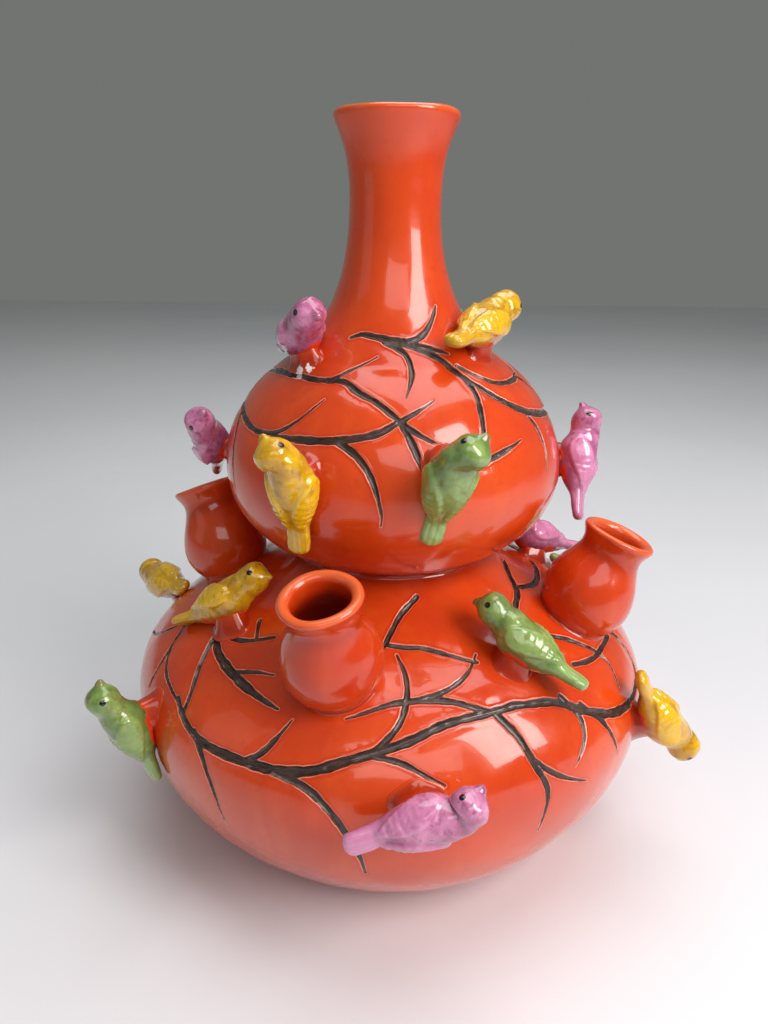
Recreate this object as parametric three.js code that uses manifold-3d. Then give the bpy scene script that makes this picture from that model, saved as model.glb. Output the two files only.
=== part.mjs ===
// A glazed clay vase in the shape of a double gourd, hung with small birds and pots.
// The vase is made in four sections that seat in each other, and every bird and pot is
// a piece by itself, stuck on with a pad or a ring of clay.
// Millimetres and degrees, +Z up, origin at the middle of the flat base.
import * as THREE from "three";
import { mergeVertices } from "three/addons/utils/BufferGeometryUtils.js";
import Module from "manifold-3d";

const wasm = await Module();
wasm.setup();

// ---------------------------------------------------------------- driving dimensions

const HEIGHT = 420;
const GAP = 0.3; // left between pieces that touch
const SIDES = 36; // round the vase

// Two ellipses of different height meet at the belly's widest line, and two at the bulb's.
const BELLY = { radius: 161, middle: 92, below: 120, above: 78 };
const BULB = { radius: 100, middle: 228, below: 63.5, above: 79.5 };
const BASE_RADIUS = 92;
const BELLY_WALL = 6.5;
const BULB_WALL = 5.5;
const NECK_WALL = 4.6;
const FLOOR = 8;
const LAP = 5; // how far each section's rim seats in the one above
const LIP_RADIUS = 3.1;

// Soft stretches of the outline between the ellipses, as [radius, height].
const FOOT = [[99, 2], [113, 8]];
const WAIST = [[96, 155], [82, 161.5], [71.5, 168], [64, 173.5], [60.5, 178]];
const NECK = [[46, 305.5], [37, 319], [30.2, 336], [26.7, 353], [25.4, 369], [25.6, 386], [28, 401]];
const MOUTH_RADIUS = 33.8;

// Small pots round the shoulder: the direction each one leans in, and by how much.
const POTS = [
  { name: "pot_front", azimuth: -13.3, height: 144.8, lean: 16.7, towards: -22 },
  { name: "pot_right", azimuth: 69.9, height: 145.2, lean: 22.7, towards: 91.6 },
  { name: "pot_back", azimuth: 174, height: 147, lean: 20, towards: 172 },
  { name: "pot_left", azimuth: -97.3, height: 150.7, lean: 20.7, towards: -122 },
];
const POT_SIDES = 16;
const POT_ROOT = [14, -9]; // radius and height of the stub that is sunk into the shoulder
// The outside from the foot up to the lip, and the inside back down, as [radius, height].
const POT_OUTSIDE = [
  [17.5, -5], [21, -0.5], [23.8, 4.2], [25.7, 10], [26.1, 15], [25.6, 21.4], [23.5, 29], [20, 36.7],
  [17.9, 42.5], [17.9, 47.3], [19.6, 51.4],
];
const POT_LIP = [[20.9, 54], [20.5, 55.8], [18, 56.6], [15, 54.6]];
const POT_INSIDE = [[14, 51], [13.9, 45.5], [15.8, 38.5], [19.4, 29.5], [21.2, 20], [19, 12]];
const POT_FLOOR = 8;
// The coil of clay round a pot's foot, in section.
const RING_PROFILE = [[12, -9], [26.6, -9], [26, -3], [25.4, 2], [24.9, 4.2], [12, 1]];

// Birds, from the top of the vase down. Azimuth is from the front towards +X and height is
// that of the foot on the wall. Heading turns the bird in the wall's plane from uphill towards
// +azimuth, pitch lifts its head away from the wall, roll lifts its left side away from the
// wall, and turn swings its head to its own left.
const BIRDS = [
  // name, glaze, azimuth, height, heading, pitch, roll, turn
  ["crown_left", "mauve", -55, 293, 94, 16, -26, 8],
  ["crown_right", "yellow", 63, 298, 91, 4, -36, -10],
  ["crown_back", "green", 172, 297, 110, 5, -15, 15],
  ["bulb_left", "mauve", -97, 230, 49, -16, -8, 10],
  ["bulb_front_left", "yellow", -27, 244, 4, 22, 14, 36],
  ["bulb_front_right", "green", 15, 251, 8, 34, -3, -33],
  ["bulb_right", "mauve", 92, 228, 32, -3, -25, 12],
  ["bulb_back_right", "yellow", 145, 238, -15, 8, 0, 15],
  ["bulb_back_left", "green", -146, 238, 20, 8, 0, -15],
  ["shoulder_far_left", "yellow", -104, 118, 226, 20, -4, -10],
  ["shoulder_left", "yellow", -54, 148, 48, 8, -42, 0],
  ["shoulder_right", "green", 33, 145, -28, -6, 27, 3],
  ["shoulder_back_right", "mauve", 107, 153, -4, -10, 22, 0],
  ["shoulder_far_right", "green", 102, 134, 165, 12, 0, 0],
  ["belly_left", "green", -57, 104, -10, 28, 6, -5],
  ["belly_front", "mauve", 5, 105, 73, -4, 15, 34],
  ["belly_right", "yellow", 63, 93, 159, 13, -13, -9],
  ["belly_back", "mauve", 170, 100, -80, 5, 0, 15],
];
const BIRD_SIDES = 10;
const NECK_JOINT_X = 13; // where the bird's head turns from
const TURNED_AT_X = 19; // and where it has turned in full
// Sections of a bird from its tail to its beak: how far forward, how high above the wall,
// half its width and half its depth.
const BIRD_SECTIONS = [
  [-38, 10.5, 5.2, 1.8],
  [-30, 10.8, 5.9, 3],
  [-21, 11.2, 5.8, 4.2],
  [-14, 12.2, 8.8, 8.2],
  [-5, 13.4, 11.3, 11.4],
  [4, 14.6, 12, 12.6],
  [12, 17.4, 10.5, 11.4],
  [17, 20.6, 9.6, 9.6],
  [22, 22.4, 9.4, 9.3],
  [26.6, 22.4, 7.4, 7.2],
  [29.4, 21.4, 4, 3.8],
];
const TAIL_END = [-38.6, 10.5];
const BEAK_END = [33, 20.4];

// The pad of clay under a bird, as [height, half length, half width].
const PAD_SECTIONS = [[-7, 17, 12.5], [7, 12.5, 9.5]];
const PAD_SIDES = 10;

const CLAY = { color: 0xdb3f1c, roughness: 0.18 };
const GLAZES = {
  mauve: { color: 0xb96d9f, roughness: 0.22 },
  yellow: { color: 0xdd9d12, roughness: 0.2 },
  green: { color: 0x7c9c55, roughness: 0.22 },
};

// ---------------------------------------------------------------- the vase's outline

const radians = THREE.MathUtils.degToRad;

function pairs(points) {
  return points.map(([r, z]) => new THREE.Vector2(r, z));
}

function ellipseArc(bulge, from, to, steps) {
  const half = to > 0 ? bulge.above : bulge.below;
  return Array.from({ length: steps + 1 }, (_, i) => {
    const angle = radians(from + ((to - from) * i) / steps);
    return new THREE.Vector2(bulge.radius * Math.cos(angle), bulge.middle + half * Math.sin(angle));
  });
}

// The curve through the end of one stretch, the points given and the start of the next.
function softStretch(before, points, after, steps) {
  const through = [before, ...pairs(points)];
  if (after) through.push(after);
  return new THREE.SplineCurve(through).getPoints(steps).slice(1, after ? -1 : undefined);
}

const bellyBelow = ellipseArc(BELLY, -38, 0, 5);
const bellyAbove = ellipseArc(BELLY, 0, 45, 6).slice(1);
const bulbBelow = ellipseArc(BULB, -44, 0, 5);
const bulbAbove = ellipseArc(BULB, 0, 55, 6).slice(1);
const waist = softStretch(bellyAbove.at(-1), WAIST, bulbBelow[0], 8);
const mouth = new THREE.Vector2(MOUTH_RADIUS, HEIGHT - LIP_RADIUS);
const neck = softStretch(bulbAbove.at(-1), NECK, mouth, 11);
const OUTLINE = [
  new THREE.Vector2(BASE_RADIUS, 0),
  ...pairs(FOOT),
  ...bellyBelow,
  ...bellyAbove,
  ...waist,
  ...bulbBelow,
  ...bulbAbove,
  ...neck,
  mouth,
];

// Outward normals of a polyline that runs upwards.
function normals(points) {
  return points.map((point, i) => {
    const along = points[Math.min(i + 1, points.length - 1)].clone().sub(points[Math.max(i - 1, 0)]);
    return new THREE.Vector2(along.y, -along.x).normalize();
  });
}

function offset(points, distance) {
  const outward = normals(points);
  return points.map((point, i) => point.clone().addScaledVector(outward[i], distance));
}

// The outline's point and outward normal at a height.
function onOutline(height) {
  const i = Math.max(1, OUTLINE.findIndex((point) => point.y >= height));
  const [low, high] = [OUTLINE[i - 1], OUTLINE[i]];
  const share = (height - low.y) / (high.y - low.y);
  const along = high.clone().sub(low);
  return {
    point: low.clone().lerp(high, share),
    normal: new THREE.Vector2(along.y, -along.x).normalize(),
  };
}

// ---------------------------------------------------------------- solids

function solidOf(geometry) {
  const bare = geometry.clone();
  bare.deleteAttribute("normal");
  bare.deleteAttribute("uv");
  const merged = mergeVertices(bare, 1e-4);
  const vertProperties = merged.attributes.position.array;
  const triVerts = new Uint32Array(merged.index.array);
  return new wasm.Manifold(new wasm.Mesh({ numProp: 3, vertProperties, triVerts }));
}

function geometryOf(solid) {
  const mesh = solid.getMesh();
  const geometry = new THREE.BufferGeometry();
  geometry.setAttribute("position", new THREE.BufferAttribute(mesh.vertProperties, 3));
  geometry.setIndex(new THREE.BufferAttribute(mesh.triVerts, 1));
  geometry.computeVertexNormals();
  return geometry;
}

// The largest of a solid's separate bodies: a cut may leave crumbs.
function mainBody(solid) {
  return solid.decompose().reduce((best, body) => (body.volume() > best.volume() ? body : best));
}

// Turns a profile of [radius, height] points about the Z axis.
function turned(profile, sides) {
  const geometry = new THREE.LatheGeometry(profile, sides);
  geometry.rotateX(Math.PI / 2);
  return geometry;
}

function closedProfile(points) {
  return [...points, points[0].clone()];
}

// A closed skin over rings of points, with a point at each end.
function skinned(rings, startPoint, endPoint) {
  const sides = rings[0].length;
  const positions = [...rings.flat(), startPoint, endPoint].flatMap((p) => [p.x, p.y, p.z]);
  const start = rings.length * sides;
  const index = [];
  for (let i = 0; i < sides; i++) {
    const next = (i + 1) % sides;
    index.push(start, next, i);
    const top = (rings.length - 1) * sides;
    index.push(start + 1, top + i, top + next);
    for (let ring = 0; ring + 1 < rings.length; ring++) {
      const [low, high] = [ring * sides, (ring + 1) * sides];
      index.push(low + i, low + next, high + next, low + i, high + next, high + i);
    }
  }
  const geometry = new THREE.BufferGeometry();
  geometry.setAttribute("position", new THREE.Float32BufferAttribute(positions, 3));
  geometry.setIndex(index);
  return geometry;
}

// ---------------------------------------------------------------- the four sections

// The points where a section's wall steps, at half its thickness, to seat in its neighbour.
function rimStep(outer, along, wall) {
  const inward = new THREE.Vector2(-along.y, along.x);
  return [
    outer.clone().addScaledVector(inward, wall / 2 + GAP / 2),
    outer.clone().addScaledVector(inward, wall / 2 + GAP / 2).addScaledVector(along, LAP),
    outer.clone().addScaledVector(inward, wall).addScaledVector(along, LAP),
  ];
}

function footStep(outer, along, wall) {
  const inward = new THREE.Vector2(-along.y, along.x);
  const lift = LAP + GAP;
  return [
    outer.clone().addScaledVector(inward, wall).addScaledVector(along, lift),
    outer.clone().addScaledVector(inward, wall / 2 - GAP / 2).addScaledVector(along, lift),
    outer.clone().addScaledVector(inward, wall / 2 - GAP / 2).addScaledVector(along, GAP),
  ];
}

function stretch(from, to) {
  return OUTLINE.filter((point) => point.y >= from - GAP && point.y <= to + GAP);
}

function directionAt(height) {
  const { normal } = onOutline(height);
  return new THREE.Vector2(-normal.y, normal.x);
}

// Every other inner point that lies clear of the steps at a section's two ends.
function between(points, low, high) {
  return points.filter((point) => point.y > low && point.y < high).filter((_, i) => i % 2 === 0);
}

const EQUATOR = BELLY.middle;
const WAIST_JOINT = WAIST.at(-2)[1];
const NECK_JOINT = NECK[1][1];

function bellyBowl() {
  const outer = stretch(0, EQUATOR);
  const rim = rimStep(outer.at(-1), new THREE.Vector2(0, 1), BELLY_WALL);
  const inner = between(offset(outer, -BELLY_WALL), FLOOR + 1, EQUATOR - 1).reverse();
  const floorEdge = new THREE.Vector2(inner.at(-1).x - BELLY_WALL, FLOOR);
  return turned(
    [new THREE.Vector2(0, 0), ...outer, ...rim, ...inner, floorEdge, new THREE.Vector2(0, FLOOR)],
    SIDES,
  );
}

// A section open at both ends, from one joint to the next, or up to the lip.
function openSection(from, to, wall, lip = []) {
  const low = onOutline(from).point;
  const along = directionAt(from);
  const start = low.clone().addScaledVector(along, GAP);
  const foot = footStep(low, along, wall);
  const middle = stretch(from + 2, to - 2);
  const inner = offset(middle, -wall).reverse();
  const top = lip.length ? [] : [onOutline(to).point];
  const rim = lip.length ? lip : rimStep(top[0], directionAt(to), wall);
  const highest = rim.at(-1).y;
  return turned(
    closedProfile([start, ...middle, ...top, ...rim, ...between(inner, foot[0].y + 1, highest - 1), ...foot]),
    SIDES,
  );
}

// The rolled lip round the mouth, from its outside over the top to the bore.
function mouthLip() {
  const centre = new THREE.Vector2(MOUTH_RADIUS - LIP_RADIUS, HEIGHT - LIP_RADIUS);
  return [0, 45, 90, 135, 180, 215].map(
    (angle) =>
      new THREE.Vector2(
        centre.x + LIP_RADIUS * Math.cos(radians(angle)),
        centre.y + LIP_RADIUS * Math.sin(radians(angle)),
      ),
  );
}

// ---------------------------------------------------------------- placing on the wall

function azimuthVector(azimuth) {
  return new THREE.Vector3(Math.sin(radians(azimuth)), -Math.cos(radians(azimuth)), 0);
}

// A frame on the wall: Z out of the wall and X uphill turned by the heading, then pitched and
// rolled about the foot.
function wallFrame(azimuth, height, heading, pitch, roll) {
  const { point, normal } = onOutline(height);
  const out = azimuthVector(azimuth);
  const side = azimuthVector(azimuth + 90);
  const up = new THREE.Vector3(0, 0, 1);
  const position = out.clone().multiplyScalar(point.x).addScaledVector(up, point.y);
  const z = out.clone().multiplyScalar(normal.x).addScaledVector(up, normal.y);
  const uphill = out.clone().multiplyScalar(-normal.y).addScaledVector(up, normal.x);
  const x = uphill
    .multiplyScalar(Math.cos(radians(heading)))
    .addScaledVector(side, Math.sin(radians(heading)));
  const y = z.clone().cross(x);
  const matrix = new THREE.Matrix4().makeBasis(x, y, z).setPosition(position);
  matrix.multiply(new THREE.Matrix4().makeRotationY(-radians(pitch)));
  return matrix.multiply(new THREE.Matrix4().makeRotationX(radians(roll)));
}

// The vase without its hollow, grown by the gap, in the coordinates of a frame on it.
const vaseBody = solidOf(
  turned(
    [
      new THREE.Vector2(0, -GAP),
      ...offset(OUTLINE, GAP),
      new THREE.Vector2(0, HEIGHT),
    ],
    SIDES,
  ),
);

function vaseSeenFrom(matrix) {
  return vaseBody.transform(matrix.clone().invert().elements);
}

// ---------------------------------------------------------------- birds and their pads

function ringAt([x, z, halfWidth, halfDepth], grow, turn) {
  const share = THREE.MathUtils.clamp((x - NECK_JOINT_X) / (TURNED_AT_X - NECK_JOINT_X), 0, 1);
  const angle = radians(turn) * share;
  return Array.from({ length: BIRD_SIDES }, (_, i) => {
    const around = (2 * Math.PI * i) / BIRD_SIDES;
    const y = (halfWidth + grow) * Math.cos(around);
    const ahead = x - NECK_JOINT_X;
    return new THREE.Vector3(
      NECK_JOINT_X + ahead * Math.cos(angle) - y * Math.sin(angle),
      ahead * Math.sin(angle) + y * Math.cos(angle),
      z + (halfDepth + grow) * Math.sin(around),
    );
  });
}

function birdSkin(turn, grow = 0) {
  const rings = BIRD_SECTIONS.map((section) => ringAt(section, grow, turn));
  const [beakX, beakZ] = BEAK_END;
  const reach = beakX + grow - NECK_JOINT_X;
  const beak = new THREE.Vector3(
    NECK_JOINT_X + reach * Math.cos(radians(turn)),
    reach * Math.sin(radians(turn)),
    beakZ,
  );
  const tail = new THREE.Vector3(TAIL_END[0] - grow, 0, TAIL_END[1]);
  return skinned(rings, tail, beak);
}

function padSkin() {
  const rings = PAD_SECTIONS.map(([z, halfLength, halfWidth]) =>
    Array.from({ length: PAD_SIDES }, (_, i) => {
      const around = (2 * Math.PI * i) / PAD_SIDES;
      return new THREE.Vector3(halfLength * Math.cos(around), halfWidth * Math.sin(around), z);
    }),
  );
  const ends = [PAD_SECTIONS[0][0], PAD_SECTIONS.at(-1)[0]].map((z) => new THREE.Vector3(0, 0, z));
  return skinned(rings, ends[0], ends[1]);
}

// ---------------------------------------------------------------- pots and their rings

// A pot, or, when it is grown, the solid that its ring has to stay clear of.
function potSkin(grow = 0) {
  const outside = offset(pairs(POT_OUTSIDE), grow);
  const hollow = [...pairs([...POT_LIP, ...POT_INSIDE]), new THREE.Vector2(0, POT_FLOOR)];
  const top = [new THREE.Vector2(0, POT_LIP[0][1])];
  const root = pairs([[0, POT_ROOT[1]], POT_ROOT]);
  return turned([...root, ...outside, ...(grow ? top : hollow)], POT_SIDES);
}

// The coil of soft clay smoothed round a pot's foot.
function potRingSkin() {
  return turned(closedProfile(pairs(RING_PROFILE)), POT_SIDES);
}

function potFrame({ azimuth, height, lean, towards }) {
  const { point } = onOutline(height);
  const out = azimuthVector(azimuth);
  const up = new THREE.Vector3(0, 0, 1);
  const z = azimuthVector(towards).multiplyScalar(Math.sin(radians(lean)));
  z.addScaledVector(up, Math.cos(radians(lean)));
  const y = azimuthVector(towards + 90);
  const x = y.clone().cross(z);
  const position = out.clone().multiplyScalar(point.x).addScaledVector(up, point.y);
  return new THREE.Matrix4().makeBasis(x, y, z).setPosition(position);
}

// ---------------------------------------------------------------- the scene graph

const vase = new THREE.Group();

function addMesh(parent, name, geometry, { color, roughness }) {
  const mesh = new THREE.Mesh(geometry, new THREE.MeshStandardMaterial({ color, roughness, metalness: 0 }));
  mesh.name = name;
  parent.add(mesh);
}

function addGroup(matrix) {
  const group = new THREE.Group();
  group.applyMatrix4(matrix);
  vase.add(group);
  return group;
}

addMesh(vase, "belly_bowl", bellyBowl(), CLAY);
addMesh(vase, "belly_shoulder", openSection(EQUATOR, WAIST_JOINT, BELLY_WALL), CLAY);
addMesh(vase, "upper_bulb", openSection(WAIST_JOINT, NECK_JOINT, BULB_WALL), CLAY);
addMesh(vase, "neck", openSection(NECK_JOINT, HEIGHT, NECK_WALL, mouthLip()), CLAY);

for (const pot of POTS) {
  const matrix = potFrame(pot);
  const wall = vaseSeenFrom(matrix);
  const group = addGroup(matrix);
  const ring = solidOf(potRingSkin()).subtract(wall).subtract(solidOf(potSkin(GAP)));
  addMesh(group, pot.name, geometryOf(mainBody(solidOf(potSkin()).subtract(wall))), CLAY);
  addMesh(group, `${pot.name}_clay_ring`, geometryOf(mainBody(ring)), CLAY);
}

for (const [name, glaze, azimuth, height, heading, pitch, roll, turn] of BIRDS) {
  const matrix = wallFrame(azimuth, height, heading, pitch, roll);
  const wall = vaseSeenFrom(matrix);
  const group = addGroup(matrix);
  const pad = solidOf(padSkin()).subtract(wall).subtract(solidOf(birdSkin(turn, GAP)));
  const body = solidOf(birdSkin(turn)).subtract(wall);
  addMesh(group, `bird_${name}`, geometryOf(mainBody(body)), GLAZES[glaze]);
  addMesh(group, `pad_${name}`, geometryOf(mainBody(pad)), CLAY);
}

export default vase;
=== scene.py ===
import math

import bpy
import numpy as np
from mathutils import Matrix, Vector


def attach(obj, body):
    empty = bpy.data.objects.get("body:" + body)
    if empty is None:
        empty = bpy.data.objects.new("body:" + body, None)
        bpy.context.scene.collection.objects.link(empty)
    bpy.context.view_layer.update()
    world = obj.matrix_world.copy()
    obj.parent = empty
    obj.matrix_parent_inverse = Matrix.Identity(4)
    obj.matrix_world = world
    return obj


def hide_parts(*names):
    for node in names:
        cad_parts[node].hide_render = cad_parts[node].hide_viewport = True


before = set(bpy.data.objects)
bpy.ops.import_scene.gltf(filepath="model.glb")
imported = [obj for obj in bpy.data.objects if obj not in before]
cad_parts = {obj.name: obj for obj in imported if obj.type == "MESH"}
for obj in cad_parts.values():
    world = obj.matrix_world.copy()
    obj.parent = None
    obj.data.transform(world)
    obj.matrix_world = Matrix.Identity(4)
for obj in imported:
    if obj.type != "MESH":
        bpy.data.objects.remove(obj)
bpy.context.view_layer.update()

# A glazed clay vase in the shape of a double gourd: carved and painted branches all round it,
# small pots on its shoulder and small birds stuck on with pads of clay.
# Shapes are worked out in millimetres and degrees and written to Blender in metres.

MM = 0.001
PARTS = 3  # every base cell of the vase's skin that a branch crosses is cut in PARTS x PARTS

# ------------------------------------------------------------------ dimensions shared with the CAD

HEIGHT = 420
BELLY = {"radius": 161, "middle": 92, "below": 120, "above": 78}
BULB = {"radius": 100, "middle": 228, "below": 63.5, "above": 79.5}
BASE_RADIUS = 92
WALLS = {"belly_bowl": 6.5, "belly_shoulder": 6.5, "upper_bulb": 5.5, "neck": 4.6}
FLOOR = 8
LIP_RADIUS = 3.1
MOUTH_RADIUS = 33.8
FOOT = [(99, 2), (113, 8)]
WAIST = [(96, 155), (82, 161.5), (71.5, 168), (64, 173.5), (60.5, 178)]
NECK = [(46, 305.5), (37, 319), (30.2, 336), (26.7, 353), (25.4, 369), (25.6, 386), (28, 401)]
JOINTS = [0, 92, 173.5, 319]  # heights where the four sections start
BELLY_ARC = (-38, 45)  # how much of each bulge is an ellipse, in degrees from its widest line
BULB_ARC = (-44, 55)
LIP_ARC = (8, 215)
OUTLINE_STEP = 0.25
UNDERSIDE = 1.2  # the base is hollowed by this much inside its foot ring
FOOT_RING = 9

POTS = {
    "pot_front": {"azimuth": -13.3, "height": 144.8, "lean": 16.7, "towards": -22},
    "pot_right": {"azimuth": 69.9, "height": 145.2, "lean": 22.7, "towards": 91.6},
    "pot_back": {"azimuth": 174, "height": 147, "lean": 20, "towards": 172},
    "pot_left": {"azimuth": -97.3, "height": 150.7, "lean": 20.7, "towards": -122},
}
POT_ROOT = (14, -9)
POT_OUTSIDE = [
    (17.5, -5), (21, -0.5), (23.8, 4.2), (25.7, 10), (26.1, 15), (25.6, 21.4), (23.5, 29), (20, 36.7),
    (17.9, 42.5), (17.9, 47.3), (19.6, 51.4)
]
POT_LIP = [(20.9, 54), (20.5, 55.8), (18, 56.6), (15, 54.6)]
POT_INSIDE = [(14, 51), (13.9, 45.5), (15.8, 38.5), (19.4, 29.5), (21.2, 20), (19, 12)]
POT_FLOOR = 8

# name: glaze, azimuth, height, heading, pitch, roll, turn of the head
BIRDS = {
    "crown_left": ("mauve", -55, 293, 94, 16, -26, 8),
    "crown_right": ("yellow", 63, 298, 91, 4, -36, -10),
    "crown_back": ("green", 172, 297, 110, 5, -15, 15),
    "bulb_left": ("mauve", -97, 230, 49, -16, -8, 10),
    "bulb_front_left": ("yellow", -27, 244, 4, 22, 14, 36),
    "bulb_front_right": ("green", 15, 251, 8, 34, -3, -33),
    "bulb_right": ("mauve", 92, 228, 32, -3, -25, 12),
    "bulb_back_right": ("yellow", 145, 238, -15, 8, 0, 15),
    "bulb_back_left": ("green", -146, 238, 20, 8, 0, -15),
    "shoulder_far_left": ("yellow", -104, 118, 226, 20, -4, -10),
    "shoulder_left": ("yellow", -54, 148, 48, 8, -42, 0),
    "shoulder_right": ("green", 33, 145, -28, -6, 27, 3),
    "shoulder_back_right": ("mauve", 107, 153, -4, -10, 22, 0),
    "shoulder_far_right": ("green", 102, 134, 165, 12, 0, 0),
    "belly_left": ("green", -57, 104, -10, 28, 6, -5),
    "belly_front": ("mauve", 5, 105, 73, -4, 15, 34),
    "belly_right": ("yellow", 63, 93, 159, 13, -13, -9),
    "belly_back": ("mauve", 170, 100, -80, 5, 0, 15),
}
NECK_JOINT_X = 13
TURNED_AT_X = 19

# ------------------------------------------------------------------ small helpers


def smooth(value, low, high):
    share = np.clip((value - low) / (high - low), 0, 1)
    return share * share * (3 - 2 * share)


def through(points, per_span):
    """A smooth curve through the points, with per_span steps between neighbours."""
    points = np.asarray(points, float)
    padded = np.vstack([2 * points[0] - points[1], points, 2 * points[-1] - points[-2]])
    share = np.linspace(0, 1, per_span, endpoint=False)[:, None]
    spans = []
    for before, start, end, after in zip(padded, padded[1:], padded[2:], padded[3:]):
        leave = (end - before) / 2
        arrive = (after - start) / 2
        spans.append(
            start
            + leave * share
            + (3 * (end - start) - 2 * leave - arrive) * share**2
            + (2 * (start - end) + leave + arrive) * share**3
        )
    return np.vstack([*spans, points[-1:]])


def lengths_along(points):
    return np.r_[0, np.cumsum(np.linalg.norm(np.diff(points, axis=0), axis=1))]


def evenly(points, step):
    """The same polyline with its points a step apart."""
    along = lengths_along(points)
    marks = np.linspace(0, along[-1], max(2, round(along[-1] / step) + 1))
    return np.stack([np.interp(marks, along, column) for column in points.T], axis=1)


def softened(points, reach):
    """The polyline with its corners rounded over about reach points."""
    window = np.exp(-0.5 * (np.arange(-3 * reach, 3 * reach + 1) / reach) ** 2)
    window /= window.sum()
    result = points.copy()
    for column in range(points.shape[1]):
        start = 2 * points[0, column] - points[3 * reach : 0 : -1, column]
        end = 2 * points[-1, column] - points[-2 : -3 * reach - 2 : -1, column]
        result[:, column] = np.convolve(np.r_[start, points[:, column], end], window, "valid")
    return result


def ripples(points, wavelength, seed, waves=9):
    """Gentle unevenness between about -1 and 1, the same each run."""
    random = np.random.default_rng(seed)
    total = np.zeros(len(points))
    for _ in range(waves):
        direction = random.normal(size=3)
        direction *= 2 * np.pi / (wavelength * random.uniform(0.7, 1.5) * np.linalg.norm(direction))
        total += np.sin(points @ direction + random.uniform(0, 2 * np.pi))
    return total / np.sqrt(waves)


def azimuth_vector(azimuth):
    angle = np.radians(azimuth)
    return np.stack([np.sin(angle), -np.cos(angle), np.zeros_like(angle)], axis=-1)


# ------------------------------------------------------------------ the vase's outline


def ellipse_arc(bulge, start, end):
    angles = np.radians(np.linspace(start, end, 40))
    half = bulge["above"] if end > 0 else bulge["below"]
    return np.stack([bulge["radius"] * np.cos(angles), bulge["middle"] + half * np.sin(angles)], 1)


def vase_outline():
    """The outside from the base's edge up, over the lip and down to the bore."""
    belly_below = ellipse_arc(BELLY, BELLY_ARC[0], 0)
    belly_above = ellipse_arc(BELLY, 0, BELLY_ARC[1])
    bulb_below = ellipse_arc(BULB, BULB_ARC[0], 0)
    bulb_above = ellipse_arc(BULB, 0, BULB_ARC[1])
    foot = through([(BASE_RADIUS, 0), *FOOT, belly_below[0]], 10)
    waist = through([belly_above[-1], *WAIST, bulb_below[0]], 10)
    mouth_height = HEIGHT - LIP_RADIUS
    neck = through([bulb_above[-1], *NECK, (MOUTH_RADIUS, mouth_height)], 10)
    round_lip = np.radians(np.linspace(*LIP_ARC, 30))
    lip = np.stack(
        [
            MOUTH_RADIUS - LIP_RADIUS + LIP_RADIUS * np.cos(round_lip),
            mouth_height + LIP_RADIUS * np.sin(round_lip),
        ],
        1,
    )
    stretches = [foot, belly_below, belly_above, waist, bulb_below, bulb_above, neck]
    outline = np.vstack([stretch[:-1] for stretch in stretches] + [neck[-1:], lip])
    return softened(evenly(outline, OUTLINE_STEP), 4)


OUTLINE = vase_outline()
ALONG = lengths_along(OUTLINE)
SLOPE = np.gradient(OUTLINE, ALONG, axis=0)
SLOPE /= np.linalg.norm(SLOPE, axis=1)[:, None]
TOP = int(np.argmax(OUTLINE[:, 1]))  # the outline rises up to here


def length_at(height):
    return np.interp(height, OUTLINE[:TOP, 1], ALONG[:TOP])


def radius_at(height):
    return np.interp(height, OUTLINE[:TOP, 1], OUTLINE[:TOP, 0])


def on_vase(azimuth, along):
    """Points on the vase's outside and the directions straight out of it."""
    radius, height, slope_r, slope_z = (
        np.interp(along, ALONG, column)
        for column in (OUTLINE[:, 0], OUTLINE[:, 1], SLOPE[:, 0], SLOPE[:, 1])
    )
    out = azimuth_vector(azimuth)
    up = np.array([0, 0, 1])
    return (
        out * radius[..., None] + up * height[..., None],
        out * slope_z[..., None] - up * slope_r[..., None],
    )


# ------------------------------------------------------------------ the carved branches

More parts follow.
